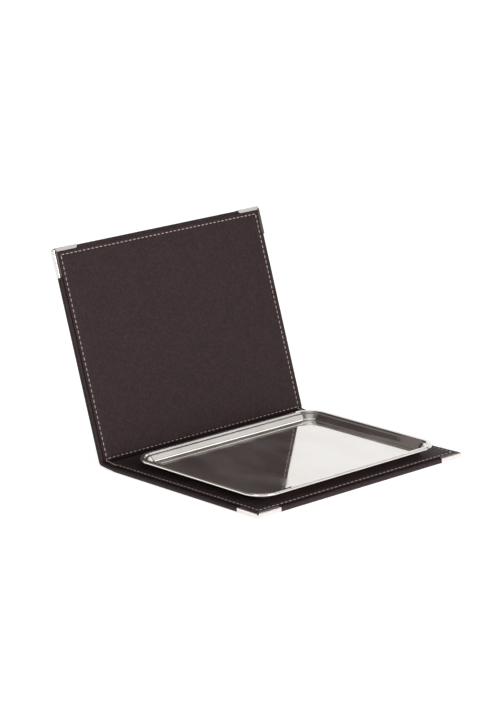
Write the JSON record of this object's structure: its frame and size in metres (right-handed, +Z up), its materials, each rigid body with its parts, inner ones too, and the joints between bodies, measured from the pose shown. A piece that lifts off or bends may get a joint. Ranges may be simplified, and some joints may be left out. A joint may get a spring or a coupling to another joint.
{
  "type": "guest check presenter",
  "caption": "Stitched leatherette folder with chromed metal corners, standing open; its flat base carries a shallow polished steel tray for the bill and coins.",
  "frame": {"origin": "centre of the base panel's underside, on the table", "axes": "+X along the fold, +Y from the base's free edge towards the fold, +Z up"},
  "size_m": [0.217, 0.2373, 0.1691],
  "materials": {
    "outer_leatherette": "dark brown grained leatherette, semi-matt",
    "lining_leatherette": "dark brown smooth leatherette, semi-matt",
    "board": "grey bookbinding board",
    "foam": "thin padding sheet",
    "thread": "beige sewing thread",
    "chrome": "bright chromed sheet steel",
    "steel": "mirror-polished stainless steel",
    "adhesive": "double-sided adhesive film"
  },
  "bodies": {
    "base": {"base_outer_skin": "outer_leatherette", "base_board": "board", "base_foam": "foam", "base_lining": "lining_leatherette", "base_stitching": "thread", "base_corner_left": "chrome", "base_corner_right": "chrome", "tray": "steel", "tray_adhesive": "adhesive"},
    "spine": {"spine_outer_skin": "outer_leatherette", "spine_board": "board", "spine_lining": "lining_leatherette", "spine_stitching": "thread"},
    "cover": {"cover_outer_skin": "outer_leatherette", "cover_board": "board", "cover_foam": "foam", "cover_lining": "lining_leatherette", "cover_stitching": "thread", "cover_hinge_stitching": "thread", "cover_corner_left": "chrome", "cover_corner_right": "chrome"}
  },
  "joints": [
    {"name": "spine_fold", "type": "hinge", "parent": "base", "child": "spine", "pos_m": [0, 0.086, 0.00235], "axis": [1, 0, 0], "range_deg": [-6.5, 83.5]},
    {"name": "cover_fold", "type": "hinge", "parent": "spine", "child": "cover", "pos_m": [0, 0.09837, 0.00376], "axis": [1, 0, 0], "range_deg": [-66.5, 23.5]}
  ]
}
